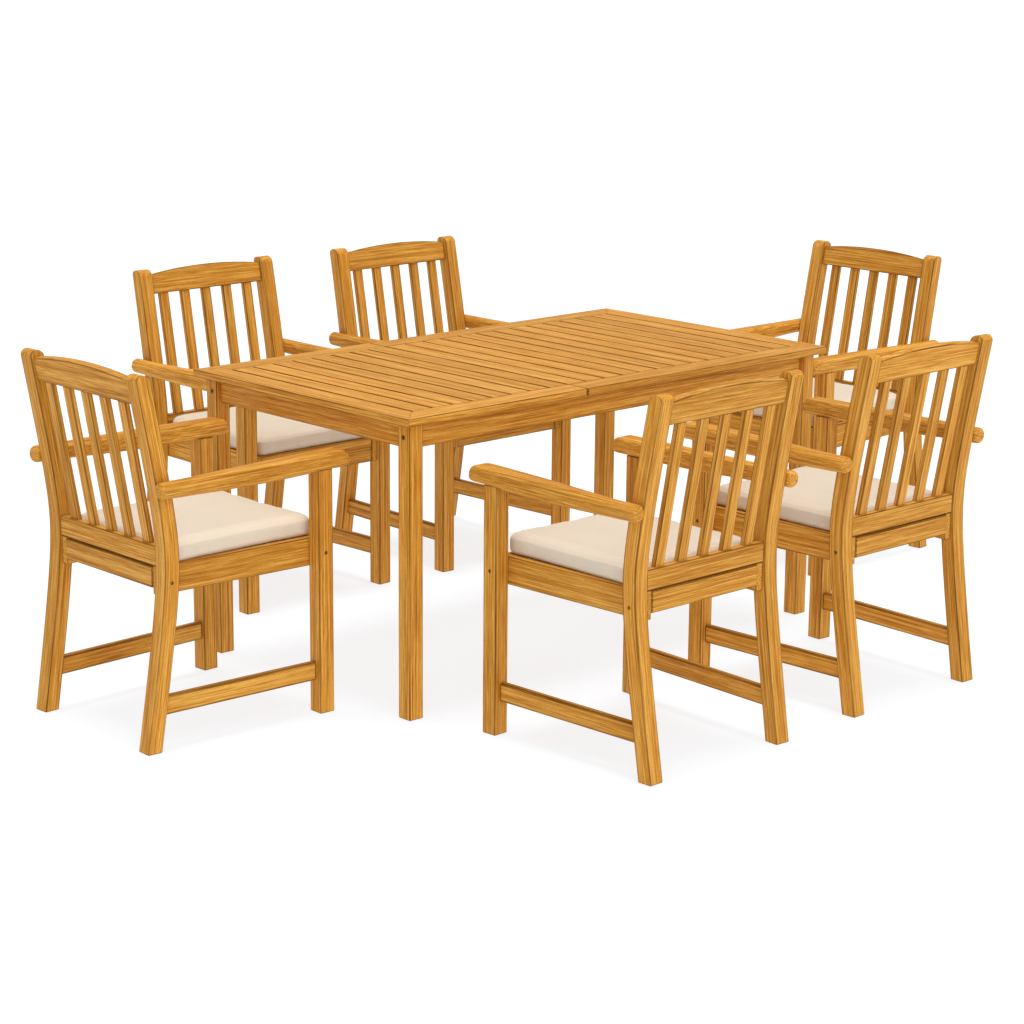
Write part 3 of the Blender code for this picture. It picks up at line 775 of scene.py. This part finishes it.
class PATIO_OT_chair_sides(Operator):
    """Front legs, curved rear legs and stretchers of the chairs"""

    bl_idname = "patio.chair_sides"
    bl_label = "Chair sides"

    def execute(self, context):
        sizes = context.scene.patio_chair
        leg = sizes.leg
        low, high, thick = sizes.stretcher_low, sizes.stretcher_high, sizes.stretcher_thick
        middle = (low + high) / 2
        housed, ease = thick / 5, thick / 4  # it enters the rear leg a little
        reach = sizes.rear_centre + lean(sizes, middle) - sizes.rear_depth / 2 + housed
        stretcher = board("stretcher", reach - leg, high - low, thick, ease)
        inward = sizes.stretcher_inset + thick / 2
        turned = side_place(sizes, (reach + leg) / 2, inward, middle, upright=False)
        pieces = []
        for name, mesh, place in (
            ("front_leg", self.front_leg(sizes), side_place(sizes)),
            ("rear_leg", self.rear_leg(sizes), side_place(sizes)),
            ("stretcher", stretcher, turned),
        ):
            pieces += both_sides(name, mesh, place, "{side}_side_frame", (0, 0, 1))
        on_every_chair(sizes, pieces)
        return {"FINISHED"}

    def front_leg(self, sizes):
        """In (up, rearward, inward), drilled on its outer face."""
        leg, top = sizes.leg, sizes.arm_bottom - CLEAR
        mesh = board("front leg", top, leg, leg, sizes.ease)
        mesh.transform(Matrix.Translation((top / 2, leg / 2, leg / 2)))
        return drilled(mesh, [bolt_hole(sizes, leg / 2)])

    def rear_leg(self, sizes):
        """In (up, rearward, inward): level sections along the curve, closing over the rounded top."""
        half, wide, ease = sizes.rear_depth / 2, sizes.leg, sizes.ease
        shoulder = sizes.post_top - sizes.post_round
        spans, crown_steps, crown_angle = 34, 8, math.radians(84)
        rings = []

        def level(z, reach, drawn=0.0):
            behind = sizes.rear_centre + lean(sizes, z)
            ring = section(2 * (reach - drawn), wide - 2 * drawn, ease - drawn)
            rings.append([(z, behind + y, wide / 2 + t) for y, t in ring])

        for step in range(EASE_STEPS):
            turn = step / EASE_STEPS * math.pi / 2
            level(ease * (1 - math.cos(turn)), half, ease * (1 - math.sin(turn)))
        for step in range(spans + 1):
            level(ease + (shoulder - ease) * step / spans, half)
        for step in range(1, crown_steps + 1):
            turn = step / crown_steps * crown_angle
            drawn = ease * (step / crown_steps) ** 4 / 2
            level(shoulder + sizes.post_round * math.sin(turn), half * math.cos(turn) + drawn, drawn)
        mesh = sweep("rear leg", rings, far_end=0)
        mesh = drilled(mesh, [bolt_hole(sizes, sizes.rear_centre + lean(sizes, sizes.bolt_height))])
        bend = mesh.attributes.new("bend", "FLOAT_VECTOR", "POINT")
        for vertex, item in zip(mesh.vertices, bend.data):
            item.vector = (0.0, -lean(sizes, vertex.co.x), 0.0)  # the grain follows the leg's curve
        return mesh


def bolt_hole(sizes, rearward):
    """A cutter in (up, rearward, inward) from a leg's outer face."""
    up, deep = sizes.bolt_height, sizes.bolt_sunk + SEAT_BOLT[0] + RUN_OUT / 10
    return cylinder("hole", sizes.bolt_hole, (up, rearward, -RUN_OUT), (up, rearward, deep))


class PATIO_OT_chair_seats(Operator):
    """Rails and slats of the chairs' seats"""

    bl_idname = "patio.chair_seats"
    bl_label = "Chair seats"

    def execute(self, context):
        sizes = context.scene.patio_chair
        rail, low, high = sizes.seat_rail, sizes.seat_low, sizes.seat_high
        outer = sizes.leg + CLEAR
        side = board("seat side rail", sizes.seat_back - sizes.seat_front, high - low, rail, sizes.ease)
        middle = (sizes.seat_back + sizes.seat_front) / 2
        place = side_place(sizes, middle, outer + rail / 2, (low + high) / 2, upright=False)
        pieces = both_sides("seat_rail", side, place, "seat_frame", (0, 0, 1))
        last = sizes.seat_back - rail
        crossing = [
            ("front_seat_rail", sizes.seat_front, low, high),
            ("rear_seat_rail", last, sizes.rear_rail_low, sizes.rear_rail_high),
        ]
        for name, start, bottom, top in crossing:
            half = side_face(sizes, -start, outer + rail) - CLEAR / 2
            mesh = board(name, 2 * half, top - bottom, rail, sizes.ease)
            where = axes((-start - rail / 2, 0.0, (top + bottom) / 2), *ON_EDGE)
            pieces.append((name, mesh, where, "seat_frame"))
        wide, thick = sizes.seat_slat_width, sizes.seat_slat_thick
        lowered = thick / 10  # how far the slats' faces lie below the rails'
        first = sizes.seat_front + rail
        between = (last - first - sizes.seat_slats * wide) / (sizes.seat_slats + 1)
        for i in range(sizes.seat_slats):
            start = first + between + i * (wide + between)
            half = side_face(sizes, -start - wide, outer + rail) - CLEAR / 2
            mesh = board("seat slat", 2 * half, wide, thick, sizes.ease)
            where = axes((-start - wide / 2, 0.0, high - lowered - thick / 2), *LYING)
            pieces.append((f"seat_slat_{i + 1}", mesh, where, "seat_frame"))
        on_every_chair(sizes, pieces)
        return {"FINISHED"}


class PATIO_OT_chair_backs(Operator):
    """Arched crest rails, lower rails and upright slats of the chairs' backs"""

    bl_idname = "patio.chair_backs"
    bl_label = "Chair backs"

    def execute(self, context):
        sizes = context.scene.patio_chair
        low, high = sizes.back_rail_low, sizes.back_rail_high
        back, thick = sizes.seat_back, sizes.back_rail_thick
        half = side_face(sizes, -back, sizes.leg) - CLEAR
        rail = board("lower back rail", 2 * half, high - low, thick, sizes.ease)
        rail_place = axes((-back + thick / 2, 0.0, (low + high) / 2), *ON_EDGE)
        middle = (sizes.crest_low + sizes.crest_high) / 2
        behind = sizes.rear_centre + lean(sizes, middle)
        tall = sizes.crest_high - sizes.crest_low
        slope = (lean(sizes, sizes.crest_high) - lean(sizes, sizes.crest_low)) / tall
        crest_place = axes((-behind, 0.0, middle), (0, 1, 0), Vector((-slope, 0.0, 1.0)))
        pieces = [
            ("lower_back_rail", rail, rail_place, "back_panel"),
            ("crest_rail", self.crest(sizes, behind, tall / 2), crest_place, "back_panel"),
        ]
        foot = Vector((-sizes.rear_centre - lean(sizes, low), 0.0, high))
        head = Vector((-behind, 0.0, sizes.crest_low))
        housed = 0.002  # how far each end is let into its rail
        long = (head - foot).length + 2 * housed
        slat = board("back slat", long, sizes.back_slat_width, sizes.back_slat_thick, sizes.ease)
        for i in range(sizes.back_slats):
            across = (i - (sizes.back_slats - 1) / 2) * sizes.back_slat_pitch
            where = axes((foot + head) / 2 + Vector((0.0, across, 0.0)), head - foot, (0, 1, 0))
            pieces.append((f"back_slat_{i + 1}", slat, where, "back_panel"))
        on_every_chair(sizes, pieces)
        return {"FINISHED"}

    def crest(self, sizes, behind, tall):
        """Straight below and arched above."""
        half = side_face(sizes, -behind - sizes.crest_thick, sizes.leg) - CLEAR
        spans = 24
        points = [(-half, -tall), (half, -tall)]
        for step in range(spans + 1):
            along = 1 - 2 * step / spans
            points.append((half * along, tall + sizes.crest_rise * (1 - along**2)))
        return plank("crest rail", points, sizes.crest_thick, sizes.ease)


class PATIO_OT_chair_arms(Operator):
    """Shaped arms of the chairs"""

    bl_idname = "patio.chair_arms"
    bl_label = "Chair arms"

    def execute(self, context):
        sizes = context.scene.patio_chair
        on_every_chair(sizes, both_sides("armrest", self.arm(sizes), Matrix(), "{side}_arm", (0, 1, 0)))
        return {"FINISHED"}

    def arm(self, sizes):
        """In the chair's frame: sections from the blunt nose to the round rear end."""
        first, last = sizes.arm_nose - sizes.arm_nose_round, -sizes.arm_rear + sizes.arm_end_round
        spans, nose_steps, end_steps = 30, 8, 6
        places = [x for x, _ in arc(first, 0.0, sizes.arm_nose_round, 0, 82, nose_steps)]
        places += [first + (last - first) * step / spans for step in range(1, spans)]
        places += [x for x, _ in arc(last, 0.0, sizes.arm_end_round, 90, 176, end_steps)]
        mesh = sweep("armrest", [self.ring(sizes, x) for x in places], 1, 1)
        mesh.attributes.remove(mesh.attributes["arris"])  # its edges are rounded over, not sharp
        return mesh

    def ring(self, sizes, x):
        """The arm's section at this place along the chair."""
        nose, rear, clear = sizes.arm_nose, sizes.arm_rear, 2 * CLEAR
        level, growth = 0.006, 0.030  # behind the front leg the belly stays level, then grows
        side_share, under_share = 0.27, 0.12  # how much the nose draws in at its sides and below
        edge, more_edge = 0.008, 0.0105  # the edges' radius, and how much it grows towards the rear
        growing_from, growing_over = 0.20, 0.22  # behind the front legs' front
        run = (nose - x) / (nose + rear)
        belly = sizes.arm_belly * math.sin(math.pi * run) * share(-x - sizes.leg - level, growth)
        front_outer = sizes.front_half + sizes.arm_overhang
        rear_outer = side_face(sizes, -rear) + sizes.arm_rear_width
        outer = front_outer + (rear_outer - front_outer) * run
        front_inner = front_outer - sizes.arm_front_width
        joint_inner = side_face(sizes, -sizes.arm_joint) + clear
        inner = front_inner + (joint_inner - front_inner) * share(-x, sizes.arm_joint)
        if x < -sizes.arm_joint:
            inner = side_face(sizes, x) + clear
        fall = rounded(x - nose + sizes.arm_nose_round, sizes.arm_nose_round)
        shrink = rounded(-x - rear + sizes.arm_end_round, sizes.arm_end_round)
        pinch = fall * side_share + shrink
        outer, inner = outer - pinch, inner + pinch
        top = sizes.arm_top - fall - shrink
        bottom = sizes.arm_bottom - belly + fall * under_share + shrink
        corner = edge + more_edge * share(-x - growing_from, growing_over)
        ring = section(outer - inner, top - bottom, corner, steps=7)
        return [(x, (outer + inner) / 2 + y, (top + bottom) / 2 + z) for y, z in ring]


def share(along, whole):
    """How much of the whole has been passed, from 0 to 1."""
    return min(max(along / whole, 0.0), 1.0)


def rounded(along, radius):
    """How far a round corner has come in, this far past where it starts."""
    return radius - math.sqrt(max(0.0, radius**2 - max(0.0, along) ** 2))


class PATIO_OT_chair_bolts(Operator):
    """Bolts through the chairs' legs into the seats"""

    bl_idname = "patio.chair_bolts"
    bl_label = "Chair bolts"

    def execute(self, context):
        sizes = context.scene.patio_chair
        mesh = socket_bolt("seat bolt", sizes.bolt_head, *SEAT_BOLT)
        behind = sizes.rear_centre + lean(sizes, sizes.bolt_height)
        left = {"front": side_place(sizes, sizes.leg / 2), "rear": side_place(sizes, behind)}
        for name in CHAIRS:
            chair = chair_frame(name, sizes)
            for end, place in left.items():
                origin = place @ Vector((sizes.bolt_height, 0.0, sizes.bolt_sunk))
                inward = place.to_3x3() @ Vector((0.0, 0.0, 1.0))
                for side, flip in (("left", Matrix()), ("right", ACROSS)):
                    where = chair @ axes(flip @ origin, flip.to_3x3() @ inward, (0, 0, 1))
                    piece = f"{name}_{side}_{end}_bolt"
                    add_piece(piece, mesh, where, name, "", STEEL_SLOT, zinc_plated_steel())
        return {"FINISHED"}


# ---- cushions


class PATIO_OT_cushions(Operator):
    """Loose boxed seat cushions, filled by cloth simulation"""

    bl_idname = "patio.cushions"
    bl_label = "Cushions"

    def execute(self, context):
        sizes, chairs = context.scene.patio_cushion, context.scene.patio_chair
        settles = 0.002  # how far its weight presses it into the gaps of the seat
        mesh = self.filled(sizes)
        for name in CHAIRS:
            chair, node = chair_frame(name, chairs), f"{name}_cushion"
            low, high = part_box(node)
            centre = chair.inverted() @ ((low + high) / 2)
            place = chair @ Matrix.Translation((centre.x, 0.0, low.z - settles))
            about = (f"{name}_seat_pad", node, CLOTH_SLOT, woven_polyester())
            piece = add_piece(f"{name}_seat_cushion", mesh, place, *about)
        return {"FINISHED"}

    def cover(self, sizes):
        """The sewn cover before it is filled: a box with rounded corners, standing on z = 0."""
        x, y = self.plan(sizes)
        outline = section(2 * x, 2 * y, sizes.corner, steps=6)
        mesh = plank("cushion cover", outline, sizes.thickness, sizes.edge)
        mesh.transform(Matrix.Translation((0.0, 0.0, sizes.thickness / 2)))
        return mesh

    def plan(self, sizes):
        """Half the depth and width of the cover, which is cut smaller than the filled cushion."""
        inset = sizes.swell * 0.35  # the filling pushes the sides back out by this much
        return sizes.depth / 2 - inset, sizes.width / 2 - inset

    def filled(self, sizes):
        """The cover remeshed evenly, swollen by its filling, flat underneath, with its seams sewn in."""
        piece = new_object("filling", self.cover(sizes))
        grid = 0.006  # metres
        put(piece.modifiers.new("even", "REMESH"), mode="VOXEL", voxel_size=grid)
        base = evaluated(piece)
        piece.modifiers.clear()
        piece.data = base
        rest = positions(base)
        moved = self.simulated(piece, rest, sizes)
        moved[:, 2] = np.maximum(moved[:, 2], 0.0)
        flat = self.finer(piece, base, rest)
        mesh = self.finer(piece, base, moved)
        bpy.data.objects.remove(piece, do_unlink=True)
        self.sew(mesh, positions(flat), sizes)
        mesh.name = "seat cushion"
        mesh.shade_smooth()
        return mesh

    def finer(self, piece, base, places):
        """The cover subdivided, with its points at these places."""
        move(base, places)
        piece.modifiers.clear()
        put(piece.modifiers.new("finer", "SUBSURF"), levels=1, render_levels=1)
        return evaluated(piece)

    def sew(self, mesh, flat, sizes):
        """Draws the cloth in along the two stitched seams round the side band."""
        x, y = self.plan(sizes)
        out = np.abs(flat[:, :2]) - (x - sizes.corner, y - sizes.corner)
        beyond = np.linalg.norm(np.maximum(out, 0.0), axis=1) + np.minimum(out.max(axis=1), 0.0)
        inside = sizes.corner - beyond
        shoulder = sizes.edge * 0.3  # the middle of the round edge lies this far in and down
        below_top = sizes.thickness - flat[:, 2]
        drawn = np.zeros(len(flat))
        for height in (below_top, flat[:, 2]):
            away = np.hypot(inside - shoulder, height - shoulder)
            drawn += sizes.seam_depth * np.exp(-((away / sizes.seam_width) ** 2))
        normals = np.zeros(len(flat) * 3, np.float32)
        mesh.vertices.foreach_get("normal", normals)
        move(mesh, positions(mesh) - normals.reshape(-1, 3) * drawn[:, None])

    def simulated(self, piece, rest, sizes):
        """Where the cloth comes to rest under the pressure of its filling."""
        cloth, last = piece.modifiers.new("cloth", "CLOTH"), 20
        put(cloth.settings, quality=5, mass=0.3, use_pressure=True, uniform_pressure_force=4.0)
        put(cloth.settings, tension_stiffness=20, compression_stiffness=20)
        put(cloth.settings, shear_stiffness=8, bending_stiffness=0.6)
        cloth.settings.effector_weights.gravity = 0.0
        cloth.point_cache.frame_start, cloth.point_cache.frame_end = 1, last
        for frame_number in range(1, last + 1):
            bpy.context.scene.frame_set(frame_number)
        moved = positions(evaluated(piece))
        piece.modifiers.clear()
        bpy.context.scene.frame_set(1)
        step = moved - rest
        far = np.linalg.norm(step, axis=1, keepdims=True)
        keep = np.minimum(1.0, sizes.swell / np.maximum(far, 1e-9))
        return rest + step * keep


def move(mesh, places):
    """Puts a mesh's points at these places."""
    mesh.vertices.foreach_set("co", places.astype(np.float32).ravel())
    mesh.update()


def positions(mesh):
    """Where a mesh's points lie."""
    found = np.zeros(len(mesh.vertices) * 3, np.float32)
    mesh.vertices.foreach_get("co", found)
    return found.reshape(-1, 3).astype(float)


# ---- studio


class PATIO_OT_studio(Operator):
    """White floor, soft light from above and the camera"""

    bl_idname = "patio.studio"
    bl_label = "Studio"

    def execute(self, context):
        settings = context.scene.patio_studio
        self.floor()
        self.lights(context, settings)
        self.camera(context, settings)
        context.scene.view_settings.view_transform = "Standard"
        return {"FINISHED"}

    def floor(self):
        """A round floor that reaches out of sight, just under the feet."""
        radius, sunk = 80.0, 0.0005
        bm = bmesh.new()
        bmesh.ops.create_circle(bm, cap_ends=True, segments=96, radius=radius)
        piece = new_object("studio_floor", mesh_from(bm, "studio floor"))
        piece.location.z = -sunk
        piece.data.materials.append(painted_floor())

    def lights(self, context, settings):
        world = bpy.data.worlds.new("studio room")
        world.use_nodes = True
        white = (1.0, 1.0, 1.0, 1.0)
        set_inputs(world.node_tree.nodes["Background"], {"Color": white, "Strength": settings.sky})
        context.scene.world = world
        for name, strength, spread, way in (
            ("key_light", settings.key, 24, (-0.06, -0.08, -1.0)),
            ("fill_light", settings.fill, 70, (0.35, 0.85, -0.35)),
        ):
            lamp = put(bpy.data.lights.new(name, "SUN"), energy=strength, angle=math.radians(spread))
            piece = new_object(name, lamp)
            piece.rotation_euler = Vector(way).to_track_quat("-Z", "Y").to_euler()

    def camera(self, context, settings):
        film = {"lens": settings.lens, "sensor_width": 36.0, "clip_end": 300.0}
        piece = new_object("camera", put(bpy.data.cameras.new("camera"), **film))
        heading = Matrix.Rotation(-settings.turn, 4, "Z")
        aim = heading @ Matrix.Rotation(math.pi / 2 - settings.tilt, 4, "X")
        aim = aim @ Matrix.Rotation(settings.roll, 4, "Z")
        piece.matrix_world = Matrix.Translation(settings.place) @ aim
        context.scene.camera = piece


# ---- add-on


class PATIO_PT_panel(Panel):
    bl_idname = "PATIO_PT_panel"
    bl_label = "Patio Dining Set"
    bl_space_type = "VIEW_3D"
    bl_region_type = "UI"
    bl_category = "Patio Set"

    def draw(self, context):
        for operator in OPERATORS:
            self.layout.operator(operator.bl_idname)
        for key, group in GROUPS.items():
            box, settings = self.layout.box(), getattr(context.scene, key)
            for name in group.__annotations__:
                box.prop(settings, name)


GROUPS = {
    "patio_table": PATIO_TableSizes,
    "patio_chair": PATIO_ChairSizes,
    "patio_cushion": PATIO_CushionSizes,
    "patio_finishes": PATIO_Finishes,
    "patio_studio": PATIO_Studio,
}
OPERATORS = (
    PATIO_OT_table_top,
    PATIO_OT_table_base,
    PATIO_OT_chair_sides,
    PATIO_OT_chair_seats,
    PATIO_OT_chair_backs,
    PATIO_OT_chair_arms,
    PATIO_OT_chair_bolts,
    PATIO_OT_cushions,
    PATIO_OT_studio,
)


def register():
    for made in (*GROUPS.values(), *OPERATORS, PATIO_PT_panel):
        bpy.utils.register_class(made)
    for key, group in GROUPS.items():
        setattr(bpy.types.Scene, key, PointerProperty(type=group))


def unregister():
    for key in GROUPS:
        delattr(bpy.types.Scene, key)
    for made in (PATIO_PT_panel, *reversed(OPERATORS), *reversed(GROUPS.values())):
        bpy.utils.unregister_class(made)


def main():
    register()
    bpy.ops.patio.table_top()
    bpy.ops.patio.table_base()
    bpy.ops.patio.chair_sides()
    bpy.ops.patio.chair_seats()
    bpy.ops.patio.chair_backs()
    bpy.ops.patio.chair_arms()
    bpy.ops.patio.chair_bolts()
    bpy.ops.patio.cushions()
    bpy.ops.patio.studio()


if __name__ == "__main__":
    main()
